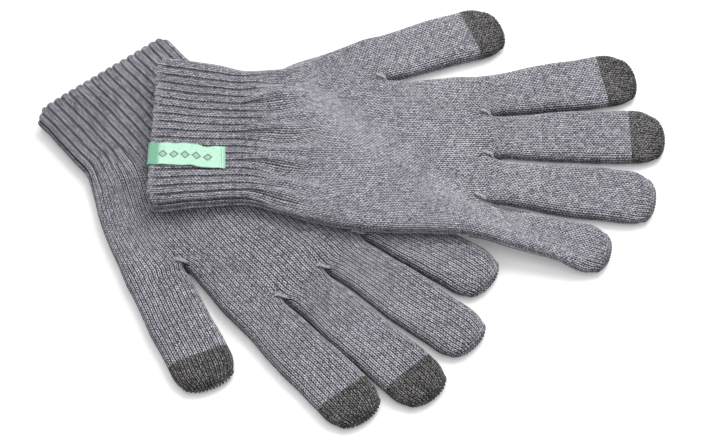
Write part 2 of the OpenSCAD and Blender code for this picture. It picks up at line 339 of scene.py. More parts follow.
def outward(p):
    """Unit normals of rings of points, out of the tube."""
    down = np.gradient(p, axis=0)
    across = np.roll(p, -1, 1) - np.roll(p, 1, 1)
    n = np.cross(down, across)
    return n / np.maximum(np.linalg.norm(n, axis=-1, keepdims=True), 1e-9)


# ------------------------------------------------------------------ mesh building
def add_mesh(name, points, faces, attributes=None, flat=0):
    """A mesh object from points in metres and arrays of 3- or 4-point faces. All of
    its faces are smooth but the last few, as many as flat says."""
    used = np.unique(np.concatenate([f.ravel() for f in faces]))
    number = np.full(len(points), -1)
    number[used] = np.arange(len(used))
    me = bpy.data.meshes.new(name)
    me.vertices.add(len(used))
    me.vertices.foreach_set("co", points[used].astype(np.float32).ravel())
    loops = np.concatenate([number[f].ravel() for f in faces])
    sizes = np.concatenate([np.full(len(f), f.shape[1]) for f in faces])
    me.loops.add(len(loops))
    me.loops.foreach_set("vertex_index", loops.astype(np.int32))
    me.polygons.add(len(sizes))
    starts = np.concatenate([[0], np.cumsum(sizes)[:-1]])
    me.polygons.foreach_set("loop_start", starts.astype(np.int32))
    me.polygons.foreach_set("use_smooth", np.arange(len(sizes)) < len(sizes) - flat)
    for key, value in (attributes or {}).items():
        me.attributes.new(key, "FLOAT", "POINT").data.foreach_set("value", value[used].astype(np.float32))
    me.update(calc_edges=True)
    me.validate()
    ob = bpy.data.objects.new(name, me)
    bpy.context.scene.collection.objects.link(ob)
    return ob


def quads(rows, cols, first=0, last_row=None):
    """Faces of a grid of closed rings. last_row renumbers the last ring's points."""
    index = first + np.arange(rows * cols).reshape(rows, cols)
    if last_row is not None:
        index[-1] = index[-1][last_row]
    nxt = np.roll(index, -1, 1)
    return np.stack([index[:-1], index[1:], nxt[1:], nxt[:-1]], -1).reshape(-1, 4)


def rim(outer, inner):
    """Triangles between a fine ring and a ring with one point to each FINE of it."""
    m = len(inner)
    o = np.arange(m * FINE).reshape(m, FINE)
    o1 = outer[(o + 1) % (m * FINE)]
    o = outer[o]
    i0, i1 = inner[:, None], np.roll(inner, -1)[:, None]
    half = FINE // 2
    near = np.stack([o[:, :half], o1[:, :half], np.broadcast_to(i0, (m, half))], -1)
    far = np.stack([o[:, half:], o1[:, half:], np.broadcast_to(i1, (m, FINE - half))], -1)
    mid = np.stack([o[:, half], i1[:, 0], i0[:, 0]], -1)
    return np.concatenate([near.reshape(-1, 3), far.reshape(-1, 3), mid])


def wall_object(name, glove, outer, inner, attributes, closed=False):
    """A closed wall from an outer grid of rings and a coarse inner one."""
    rows, cols = outer.shape[:2]
    irows, icols = inner.shape[:2]
    fold = [np.where(np.arange(c) <= c // 2, np.arange(c), c - np.arange(c)) for c in (cols, icols)]
    n = rows * cols
    out = quads(rows, cols, 0, fold[0] if closed else None)
    ins = quads(irows, icols, n, fold[1] if closed else None)[:, ::-1]
    faces = [out, ins, rim(np.arange(cols), n + np.arange(icols))]
    if not closed:
        faces.append(rim((rows - 1) * cols + np.arange(cols),
                         n + (irows - 1) * icols + np.arange(icols))[:, ::-1])
    if glove.flip < 0:
        faces = [f[:, ::-1] for f in faces]
    points = np.concatenate([outer.reshape(-1, 3), inner.reshape(-1, 3)])
    extra = {k: np.concatenate([v.ravel(), np.ravel(fill + np.zeros((irows, icols)))])
             for k, (v, fill) in attributes.items()}
    return add_mesh(name, glove.world(points), faces, extra, sum(len(f) for f in faces[2:]))


def knitted(name, glove, base, a, w, n_wales, depth=None, wall=WALL, closed=False, before=None, seed=1,
            parted=None, teeth=0):
    """Turns a smooth tube into knitted cloth, with painted shade on its upright sides,
    in the partings between its wales and in its rib's valleys. base holds the tube's
    points (rings of an upper and a lower half), a their wale positions and w the
    courses. depth is the rib's share in each row, parted how far its wales stand apart
    and how dark the painted shade between them is, teeth how far they bump out of the
    edge, and before adds the rows of a turned edge."""
    normal = outward(base)
    lower = np.zeros(base.shape[:2], bool)
    lower[:, n_wales * FINE + 1:] = True
    relief = knit(a, w)
    # Slack and tight stitches, one number for each leg of each stitch
    local = np.random.default_rng(seed)
    leg = np.floor(a * 2 + 1e-6).astype(int)
    row = np.floor(w + 1e-6).astype(int)
    row = row - row.min()
    table = local.normal(0, 1, (row.max() + 2, 2 * (n_wales + 2) * 2))
    yarn = local.normal(0, 1, (row.max() + 2, 1))
    column = np.where(lower, 2 * (n_wales + 2) + leg, leg)
    tone = table[np.broadcast_to(row, column.shape), column]
    tone = tone * 0.9 + np.broadcast_to(yarn[row[:, 0]], tone.shape) * 0.25
    free = np.ones((len(base), 1))
    free[[0, -1]] = 0
    height = relief * STITCH_DEPTH * (1 + 0.18 * tone * free)
    # Painted shade: darker on the upright sides, where less light falls
    hollow = SIDE_SHADE * (1 - smooth(np.abs(normal[..., 2]) / 0.7))
    parted = PARTED[glove.side] if parted is None else parted
    if depth is not None:
        parted = lerp(parted, 0.5, depth)
    # The partings between wales: a shallow groove, and painted shade in it
    apart = parting(a) * parted
    height = height - PARTING_DEPTH * apart
    hollow = hollow + apart
    if depth is not None:
        ribs = rib(a) * depth
        height = height + ribs * RIB_DEPTH
        # Painted shade in the rib's purl valleys
        hollow = hollow * (1 + 0.5 * ribs) + 0.44 * smooth((-ribs - 0.3) / 0.7)
    if closed:  # the bound edge along the end, one small tooth for each wale
        height = height - TEETH * teeth * np.cos(2 * np.pi * a)
    outer = base + normal * height[..., None]
    deep = wall if depth is None else lerp(WALL, wall, depth)
    keep = np.unique(np.concatenate([np.arange(0, len(base), 8), [len(base) - 1]]))
    deep = np.asarray(deep, float).reshape(-1, 1, 1) if np.ndim(deep) else deep
    deep = np.broadcast_to(deep, (len(base), 1, 1))
    inner = (base - normal * deep)[keep][:, ::FINE]
    if closed:
        half = inner.shape[1] // 2
        middle = (base[..., 2].max(1) + base[..., 2].min(1))[keep][:, None] / 2
        inner[:, : half + 1, 2] = np.maximum(inner[:, : half + 1, 2], middle)
        inner[:, half + 1:, 2] = np.minimum(inner[:, half + 1:, 2], middle)
    # The inner faces get a fixed painted shade of 0.35
    facts = [tone, hollow, a + 0 * tone, w + 0 * tone]
    plain = [0.0, 0.35, facts[2][keep][:, ::FINE], facts[3][keep][:, ::FINE]]
    if before is not None:
        outer, inner, facts = before(outer, inner, facts, normal)
    keys = ["tone", "hollow", "wale", "course"]
    return wall_object(name, glove, outer, inner, dict(zip(keys, zip(facts, plain))), closed)


def tube(glove, x, v, z, t, a=None, uneven=1.0):
    """Rings of a tube from the upper half's across distances and heights, with the
    cloth's slack, its puckers and its dimples on top, and the drape under all."""
    up = np.clip((z - t / 2) / (t / 2), 0, 1)
    high = z + up * (unevenness(x, v) * uneven + dimples(glove, x, v))
    if a is not None:
        high = high + up * puckers(x, a)
    low = t - z
    aside = v + wobble(x, v)
    p = np.stack([ring(x, x), ring(aside, aside), ring(high, low)], -1)
    p[..., 2] += glove.lift(p[..., :2])
    return p


def both(n):
    """Wale positions all round a closed ring, the same on its two faces."""
    a = wales(n)[None]
    return ring(a, a)


# --------------------------------------------------------------- the glove's parts
def cuts_at(glove, x):
    """Where the shares of the fingers part, across the hand at station x."""
    t = glove.thick(x)
    lo, hi = glove.low(x), glove.high(x)
    pitch = (hi - lo - t + math.pi * t / 2) / (sum(SHARES) + 4)
    cuts = []
    for i in range(4):
        plain = lo + t / 2 + pitch * (2 + sum(SHARES[: i + 1])) - math.pi * t / 4
        cx, cv = glove.crotches[i]
        cuts.append(lerp(plain, cv, smooth((x - CUFF) / (cx - CUFF))))
    return cuts


def cuff_base(glove, x):
    """The cuff's smooth tube at stations x."""
    n = sum(SHARES) + 4
    t = glove.thick(x)
    v, z = path(glove.low(x), glove.high(x), t, [], [n - 4], (0, 0), np.ones(len(x)))
    x = x[:, None]
    # The mouth's two corners are rounded, as soft cloth leaves them
    side = np.minimum(v - v.min(1, keepdims=True), v.max(1, keepdims=True) - v)
    corner = CORNER * smooth(1 - side / CORNER_WIDTH) ** 2 * (1 - smooth(x / CORNER_REACH))
    x = x + corner + glove.slant * v * (1 - smooth(x / CUFF))
    return tube(glove, x, v, z, t[:, None], wales(n)[None], 0.6)


def make_cuff(glove):
    n = sum(SHARES) + 4
    courses = round(CUFF / COURSE)
    pitch = CUFF / courses
    rows = np.linspace(WELT, CUFF, round((CUFF - WELT) / pitch) * 3 + 1)
    depth = rib_share(glove, rows)
    knitted(f"{glove.side}_cuff_knit", glove, cuff_base(glove, rows), both(n),
            (rows / pitch)[:, None] + 0 * both(n), n, depth[:, None], CUFF_WALL, seed=3)
    rows = np.linspace(LIP, WELT, 7)
    edge_share = float(rib_share(glove, np.array([0.0]))[0])
    depth = rib_share(glove, rows)

    def roll(outer, inner, facts, normal):
        """Rolls the mouth's edge over, from the inner face out to the ribs."""
        turns = np.radians(np.linspace(180, 15, 12))[:, None, None]
        body = outer[:1] - normal[:1] * (LIP * 1.0)
        reach = LIP + 0.6 * edge_share * rib(both(n))[..., None]
        ahead = np.array([-1.0, 0, 0]) * np.ones_like(normal[:1])
        lip = body + normal[:1] * reach * np.cos(turns) * np.where(turns > np.pi / 2, 0.95, 1)
        lip = lip + ahead * reach * np.sin(turns)
        outer = np.concatenate([lip, outer])
        inner = np.concatenate([lip[:1, ::FINE], inner[1:]])
        facts = [np.concatenate([np.repeat(v[:1], len(lip), 0), v]) for v in facts]
        facts[3][: len(lip)] -= np.linspace(2.6, 0.2, len(lip))[:, None]
        return outer, inner, facts

    knitted(f"{glove.side}_welt_knit", glove, cuff_base(glove, rows), both(n),
            (rows / pitch)[:, None] + 0 * both(n), n, depth[:, None], 2 * LIP, before=roll, seed=4)


def rib_share(glove, x):
    """How strongly the rib shows at a station. The right cuff's edge is rolled plain."""
    edge = {"left": 0.75, "right": 0.45}[glove.side]
    return lerp(edge, 1, smooth((x - 1.0) / 3.5)) * (1 - smooth((x - 38) / 30))


def make_hand_lower(glove):
    n = sum(SHARES) + 4
    courses = round((glove.fork - CUFF) / 1.5)
    rho = np.linspace(0, 1, courses * 3 + 1)
    x = lerp(CUFF, glove.fork, rho)
    corner = glove.thumb_corner
    lo = glove.low(x)
    hi_x = lerp(CUFF, corner[0], rho)
    hi = glove.high(hi_x)
    hi = hi + (corner[1] - hi[-1]) * smooth((rho - 0.45) / 0.55)
    t = glove.thick(x)
    ribbed = 1 - smooth((x - CUFF) / 34)
    v, z = path(lo, hi, t, cuts_at(glove, x), SHARES, (0, 0), ribbed)
    beyond = np.clip((v[-1] - glove.fork_side) / (corner[1] - glove.fork_side), 0, 1)
    end = lerp(glove.fork, corner[0], beyond)
    xs = CUFF + (end - CUFF) * rho[:, None]
    base = tube(glove, xs, v, z, t[:, None], wales(n)[None], lerp(0.6, 1, smooth(rho * 3))[:, None])
    depth = rib_share(glove, x)
    w = round(CUFF / COURSE) + rho[:, None] * courses
    knitted(f"{glove.side}_hand_lower_knit", glove, base, both(n), w + 0 * both(n), n,
            depth[:, None], CUFF_WALL, seed=5)


def make_hand_upper(glove):
    counts = SHARES[:4]
    n = sum(counts) + 4
    courses = round((KNUCKLE - glove.fork) / COURSE)
    rho = np.linspace(0, 1, courses * 4 + 1)
    x = lerp(glove.fork, KNUCKLE, rho)
    low_corner, high_corner = glove.little_corner, glove.index_corner
    lo = glove.low(x)
    lo = lo + (low_corner[1] - lo[-1]) * smooth((rho - 0.2) / 0.8)
    hi = lerp(glove.fork_side, high_corner[1], smooth(rho))
    t = glove.thick(x)
    cuts = cuts_at(glove, x)[:3]
    web = path(lo, hi, t, cuts, counts, (0, 1))
    soft = path(lo, hi, t, cuts, counts, (0, 0))
    part = smooth((x - glove.fork) / 5)[:, None]
    v, z = lerp(web[0], soft[0], part), lerp(web[1], soft[1], part)
    corners = np.array([low_corner] + glove.crotches[:3] + [high_corner])
    end = np.interp(v[-1], corners[:, 1], corners[:, 0])
    xs = glove.fork + (end - glove.fork) * rho[:, None]
    base = tube(glove, xs, v, z, t[:, None])
    knitted(f"{glove.side}_hand_upper_knit", glove, base, both(n), rho[:, None] * courses + 0 * both(n),
            n, seed=6)


def finger_surface(glove, f, along):
    """A finger's rings at distances along its cloth from its root, over the end."""
    d, across = glove.axes(f)
    root, length = glove.roots[f], LENGTHS[f]
    straight = length - DOME
    count = SHARES[4 - f]
    n = count + 4
    # Crotch corners on the low and the high side; an outer side has none
    low_corner = glove.little_corner if f == LITTLE else glove.crotches[(LITTLE - 1) - f]
    if f == THUMB:
        low_corner, high_corner = glove.crotches[3], glove.thumb_corner
    elif f == INDEX:
        high_corner = glove.index_corner
    else:
        high_corner = glove.crotches[LITTLE - f]
    webs = (f != LITTLE, f not in (INDEX, THUMB))
    s = np.minimum(along, straight)
    widest = glove.wide + WIDER.get((glove.side, f), 0)
    half = lerp(ROOT_WIDTHS[f], widest, smooth(s / (0.55 * length))) / 2
    # Neighbouring fingers stand a little apart past each fork
    half = half - PARTING_GAP[glove.side] * smooth((s - 1) / 9) * (1 - smooth((s - 30) / 25))
    ease = (1 - smooth(s / 10))[:, None]
    spine = root + s[:, None] * d
    start = ROOT_WIDTHS[f] / 2
    low = spine - half[:, None] * across + (low_corner - root + start * across) * ease
    high = spine + half[:, None] * across + (high_corner - root - start * across) * ease
    width = np.linalg.norm(high - low, axis=1)
    begin = glove.fork if f == THUMB else KNUCKLE
    t = glove.thick(begin + along)
    zero = np.zeros(len(s))
    soft = path(zero, width, t, [], [count], (0, 0))
    scale = (high_corner[1] - low_corner[1]) / np.linalg.norm(high_corner - low_corner)
    box = path(zero, width * scale, t, [], [count], webs)
    part = smooth(s / 5)[:, None]
    h = lerp(box[0] / scale, soft[0], part) / width[:, None]
    z = lerp(box[1], soft[1], part)
    flat = low[:, None] + (high - low)[:, None] * h[..., None]
    # The rounded end: rows and wales both close in on the outline
    r = t / 2
    over = np.maximum(along - straight, 0)
    bent = np.clip((over - DOME + r) / r, 0, math.pi / 2)
    reach = np.where(over < DOME - r, over, DOME - r + r * np.sin(bent)) / DOME
    b = np.clip(h * 2 - 1, -1, 1)
    e = reach[:, None]
    cx, cy = e * np.sqrt(1 - b * b / 2), b * np.sqrt(1 - e * e / 2)
    radius = np.clip(np.sqrt(cx * cx + cy * cy), 1e-9, 1)
    bulge = np.abs(cx / radius) ** ROUNDNESS + np.abs(cy / radius) ** ROUNDNESS
    fuller = np.maximum(bulge, 0.1) ** (-1 / ROUNDNESS)
    wide = (width / 2)[:, None]
    inside = 1 - r[:, None] / wide
    fall = np.clip((radius - inside) / (1 - inside), 0, 1)
    dome_z = r[:, None] * (1 + np.sqrt(1 - fall ** 2))
    ahead, aside = (cx * fuller * DOME)[..., None], (cy * fuller * wide)[..., None]
    ends = root + straight * d + ahead * d + aside * across
    past = (over > 0)[:, None]
    flat = np.where(past[..., None], ends, flat)
    z = np.where(past, dome_z, z)
    thinner = 1 - 0.22 * smooth((along - straight + 6) / (DOME + 6))[:, None] ** 2
    return flat[..., 0], flat[..., 1], z * thinner, t[:, None] * thinner, n


def make_finger(glove, f):
    length = LENGTHS[f]
    straight = length - DOME
    r = glove.thick(KNUCKLE + straight) / 2
    whole = straight + (DOME - r) + math.pi * r / 2
    capped = f < RING
    stop = length - CAP if capped else whole
    spans = [("sleeve", 0, stop)] + ([("tip", stop, whole)] if capped else [])
    for part, begin, end in spans:
        courses = round((end - begin) / COURSE)
        along = np.linspace(begin, end, courses * 4 + 1)
        closed = end == whole
        x, v, z, t, n = finger_surface(glove, f, along)
        base = tube(glove, x, v, z, t)
        w = np.linspace(0, courses, len(along))[:, None] + 0 * both(n)
        parted = lerp(PARTED[glove.side], 1, smooth((along - straight - 1) / 9))[:, None]
        teeth = smooth((along - whole + 6) / 4)[:, None]
        knitted(f"{glove.side}_{NAMES[f]}_{part}_knit", glove, base, both(n), w, n, closed=closed,
                seed=20 + 10 * f + (part == "tip"), parted=parted, teeth=teeth)


# ------------------------------------------------------------------ yarns and label
def strand(path_points, ups, radius, ply, twist, closed=False):
    """Points and faces of a yarn of twisted plies along a line of points."""
    p, up = np.asarray(path_points, float), np.asarray(ups, float)
    ahead = (np.roll(p, -1, 0) - np.roll(p, 1, 0)) if closed else np.gradient(p, axis=0)
    ahead /= np.linalg.norm(ahead, axis=1, keepdims=True)
    side = np.cross(ahead, up)
    side /= np.linalg.norm(side, axis=1, keepdims=True)
    up = np.cross(side, ahead)
    steps = np.linalg.norm(np.roll(p, -1, 0) - p, axis=1)
    run = np.concatenate([[0], np.cumsum(steps[:-1])])
    whole = run[-1] + (steps[-1] if closed else 0)
    turns = max(1, round(whole / twist)) / whole
    points, faces = [], []
    count, sides = len(p), YARN_SIDES
    for k in range(ply):
        angle = 2 * np.pi * (run * turns + k / ply)
        gap = radius * 0.45 if ply > 1 else 0
        size = radius * (0.58 if ply > 1 else 1)
        centre = p + gap * (np.cos(angle)[:, None] * side + np.sin(angle)[:, None] * up)
        ends = np.sqrt(np.clip(np.minimum(run, run[-1] - run) / (radius * 2), 0.04, 1))
        taper = np.ones(count) if closed else ends
        a = np.arange(sides) * 2 * np.pi / sides
        round_it = np.cos(a)[:, None, None] * side[None] + np.sin(a)[:, None, None] * up[None]
        skin = centre[None] + size * taper[None, :, None] * round_it
        points.append(skin.transpose(1, 0, 2).reshape(-1, 3))
        first = k * count * sides
        grid = quads(count, sides, first)
        if closed:
            index = first + np.arange(sides)
            last = first + (count - 1) * sides + np.arange(sides)
            grid = np.concatenate([grid, np.stack([last, index, np.roll(index, -1), np.roll(last, -1)], -1)])
            faces.append(grid)
        else:
            caps = [[first, first + j + 1, first + j] for j in range(1, sides - 1)]
            end = first + (count - 1) * sides
            caps += [[end, end + j, end + j + 1] for j in range(1, sides - 1)]
            faces += [grid, np.array(caps)]
    return np.concatenate(points), faces


def join_strands(name, glove, parts):
    """One object from several strands."""
    points, faces, offset = [], [], 0
    for p, fs in parts:
        points.append(p)
        faces += [f + offset for f in fs]
        offset += len(p)
    if glove.flip > 0:
        faces = [f[:, ::-1] for f in faces]
    points = np.concatenate(points)
    tone = np.random.default_rng(5).normal(0, 0.5, len(points))
    return add_mesh(name, glove.world(points), faces, {"tone": tone, "hollow": np.zeros(len(points))})


def make_elastic(glove):
    """The loops of elastic yarn on the cuff's inner face."""
    parts = []
    for station in ELASTIC_STATIONS:
        base = cuff_base(glove, np.array([station - 1.0, station, station + 1.0]))
        normal = outward(base)
        line = (base - normal * (CUFF_WALL + 0.2))[1][::4]
        parts.append(strand(line, normal[1][::4], ELASTIC, 2, ELASTIC_TWIST, closed=True))
    join_strands(f"{glove.side}_elastic_twist", glove, parts)


def top_of(glove, x, v):
    """Height of the cloth on the back of the hand, above the table."""
    p = np.stack([x, v], -1)
    return glove.thick(x) + unevenness(x, v) + dimples(glove, x, v) + glove.lift(p)


def make_crotch_stitches(glove):
    """Two strands of binding yarn across each fork."""
    parts = []
    for cx, cv in glove.crotches:
        for shift in (0.0, 0.66):
            t = np.linspace(-1, 1, 30)
            x = cx - 0.7 + 2.3 * t + shift * 0.7
            v = cv + 0.4 - 1.9 * t + 0.35 * np.sin(3 * t) + shift * 0.7
            z = top_of(glove, x * 0 + cx - 1.5, v * 0 + cv) + 1.25 - 1.0 * t ** 4 + 0.1 * np.cos(9 * t)
            line = np.stack([x, v, z], -1)
            parts.append(strand(line, np.tile([0, 0, 1.0], (len(t), 1)), BINDING, 2, BINDING_TWIST))
    join_strands(f"{glove.side}_crotch_yarn", glove, parts)


def label_height(x):
    """The cuff's top, where the label lies on the ribs."""
    return GLOVES["right"].thick(x) + 0.32


def label_curve(count):
    """The label's line over the cuff's edge, evenly spaced: stations and heights."""
    c, r = float(GLOVES["right"].thick(LIP)) - LIP, LIP + 0.4
    top = np.linspace(LABEL_LENGTH, 1.4, 40)
    turn = np.radians(np.linspace(90, 270, 24))
    inside = np.linspace(1.0, LABEL_TUCK, 10)
    x = np.concatenate([top, 0.95 + r * np.cos(turn), inside])
    z = np.concatenate([label_height(top), c + r * np.sin(turn), c - r + 0 * inside])
    run = np.concatenate([[0], np.cumsum(np.hypot(np.diff(x), np.diff(z)))])
    s = np.linspace(0, run[-1], count)
    return np.interp(s, run, x), np.interp(s, run, z), run[-1], s


def make_label():
    """The woven tape, and the length it was cut to."""
    glove = GLOVES["right"]
    nu, nl = 62, 220
    x, z, length, s = label_curve(nl)
    slope = np.gradient(np.stack([x, z], -1), axis=0)
    slope /= np.linalg.norm(slope, axis=1, keepdims=True)
    out = np.stack([-slope[:, 1], slope[:, 0]], -1) * -1.0
    c = np.linspace(-1, 1, nu)
    v = LABEL_ACROSS + c * LABEL_WIDTH / 2
    ss, cc = np.meshgrid(s, c, indexing="ij")
    # It lies a little askew, and buckles between its two fastened ends
    wave = 0.34 * np.sin(ss * 0.5 + 0.6) * (0.3 + 0.7 * cc ** 2) + 0.2 * np.sin(ss * 0.9 + 2 + cc * 1.3)
    wave = (wave + 0.45 * cc ** 2) * smooth(ss / 5) * smooth((LABEL_LENGTH - 2 - ss) / 5)
    edge = 0.35 * np.cos(ss * 0.32 + 0.6) * (1 + 0.4 * cc)
    # The weave: fine ribs across, a tight selvedge and the motif's raised yarns
    weave = 0.03 * np.sin(ss * 2 * np.pi / 0.7) + 0.02 * np.sin(cc * 2 * np.pi * 14)
    period, reach = 4.9, 2.3
    centre = LABEL_LENGTH / 2 + 1.0
    k = np.round((ss - centre) / period)
    near = np.abs(ss - centre - k * period) / (period * 0.46) + np.abs(cc * LABEL_WIDTH / 2) / reach
    motif = ((near < 1) & (near > 0.5) | (near < 0.2)) & (np.abs(k) <= 2)
    motif = motif.astype(float)
    selvedge = np.maximum(smooth((np.abs(cc) - 0.93) / 0.04), smooth((1.1 - ss) / 0.4))
    height = wave + 0.3 + weave + 0.05 * motif + 0.06 * selvedge
    layers = []
    for lift_by in (0.0, -0.3):
        px = x[:, None] + out[:, None, 0] * (height + lift_by)
        pz = z[:, None] + out[:, None, 1] * (height + lift_by)
        pv = v[None] + edge - LABEL_SKEW * (np.maximum(px, 0) - 10)
        xs = px + glove.slant * pv * (1 - smooth(np.maximum(px, 0) / CUFF))
        p = np.stack([xs, pv, pz + 0.5 * unevenness(px, pv)], -1)
        p[..., 2] += glove.lift(p[..., :2])
        layers.append(p)
    n = nl * nu
    index = np.arange(n).reshape(nl, nu)
    top = np.stack([index[:-1, :-1], index[:-1, 1:], index[1:, 1:], index[1:, :-1]], -1).reshape(-1, 4)
    loop = np.concatenate([index[0, :-1], index[:-1, -1], index[-1, :0:-1], index[:0:-1, 0]])
    nxt = np.roll(loop, -1)
    sides = np.stack([loop, loop + n, nxt + n, nxt], -1)
    under = (top + n)[:, ::-1]
    points = np.concatenate([p.reshape(-1, 3) for p in layers])
    # Painted shade on the end that turns over the cuff's edge
    fold = smooth((ss - LABEL_LENGTH + 5) / 2)
    facts = {
        "motif": np.concatenate([motif.ravel(), np.zeros(n)]),
        "edge": np.concatenate([selvedge.ravel()] * 2),
        "fold": np.concatenate([fold.ravel()] * 2),
        "across": np.concatenate([cc.ravel()] * 2),
        "run": np.concatenate([ss.ravel()] * 2),
    }
    ob = add_mesh("right_label_tape", glove.world(points), [top, under, sides], facts)
    return ob, length


def make_label_stitches():
    """The row of sewing across the label's end."""
    glove = GLOVES["right"]
    parts = []
    station = LABEL_LENGTH - 2.0
    for i in range(8):
        v0 = LABEL_ACROSS - LABEL_WIDTH / 2 + 0.9 + i * (LABEL_WIDTH - 1.8) / 7.6
        v0 = v0 - LABEL_SKEW * (station - 10)
        t = np.linspace(0, 1, 9)
        v = v0 + t * 1.05
        x = station + 0.12 * (t - 0.5)
        z = label_height(x) + 0.22 + 0.16 * np.sin(np.pi * t) + 0.5 * unevenness(x, v)
        z = z + glove.lift(np.stack([x, v], -1))
        line = np.stack([x, v, z], -1)
        parts.append(strand(line, np.tile([0, 0, 1.0], (len(t), 1)), THREAD, 1, THREAD_TWIST))
    return join_strands("right_label_thread", glove, parts)


for glove in GLOVES.values():
    make_cuff(glove)
    make_hand_lower(glove)
    make_hand_upper(glove)
    for finger in range(5):
        make_finger(glove, finger)
    make_elastic(glove)
    make_crotch_stitches(glove)
label, label_cut = make_label()
label_thread = make_label_stitches()


# --------------------------------------------------------------------- materials
def new_material(name):
    m = bpy.data.materials.new(name)
    m.use_nodes = True
    nt = m.node_tree
    return m, nt, nt.nodes["Principled BSDF"]


def node(nt, kind, **values):
    n = nt.nodes.new(kind)
    for key, value in values.items():
        if key in n.inputs:
            n.inputs[key].default_value = value
        else:
            setattr(n, key, value)
    return n


def ramp(nt, stops):
    n = nt.nodes.new("ShaderNodeValToRGB")
    while len(n.color_ramp.elements) < len(stops):
        n.color_ramp.elements.new(0.5)
    for e, (place, colour) in zip(n.color_ramp.elements, stops):
        e.position, e.color = place, (*colour, 1)
    return n


def blended(nt, factor, below, colour):
    """A colour laid over another one by a factor."""
    mix = nt.nodes.new("ShaderNodeMix")
    mix.data_type = "RGBA"
    nt.links.new(factor, mix.inputs["Factor"])
    nt.links.new(below, mix.inputs["A"])
    mix.inputs["B"].default_value = (*colour, 1)
    return mix.outputs["Result"]


def maths(nt, operation, a, b=None, clamp=False):
    n = nt.nodes.new("ShaderNodeMath")
    n.operation, n.use_clamp = operation, clamp
    for i, value in enumerate((a, b)):
        if value is None:
            continue
        if isinstance(value, (int, float)):
            n.inputs[i].default_value = value
        else:
            nt.links.new(value, n.inputs[i])
    return n.outputs[0]


def stitch_height(nt, wale, course):
    """Plain knit's height in a material, from 0 between the strands to 1 on them: two
    leaning legs to each stitch. Also gives how far along its leg a point lies."""
    c = maths(nt, "ABSOLUTE", maths(nt, "SUBTRACT", maths(nt, "FRACT", wale), 0.5))
    v = maths(nt, "FRACT", course)
    best = None
    for m in (-1.0, 0.0, 1.0):
        t = maths(nt, "SUBTRACT", v, m)
        leg = maths(nt, "ADD", maths(nt, "MULTIPLY", t, 0.23), 0.135)
        across = maths(nt, "POWER", maths(nt, "DIVIDE", maths(nt, "SUBTRACT", c, leg), 0.2), 2.0)
        along = maths(nt, "POWER", maths(nt, "DIVIDE", maths(nt, "SUBTRACT", t, 0.5), 0.72), 2.0)
        across = maths(nt, "SUBTRACT", 1.0, across, clamp=True)
        along = maths(nt, "SUBTRACT", 1.0, along, clamp=True)
        height = maths(nt, "SQRT", maths(nt, "MULTIPLY", across, along))
        best = height if best is None else maths(nt, "MAXIMUM", best, height)
    twist = maths(nt, "ADD", maths(nt, "MULTIPLY", v, 3.0), maths(nt, "MULTIPLY", c, 5.0))
    ply = maths(nt, "SINE", maths(nt, "MULTIPLY", twist, 2 * math.pi))
    return best, ply


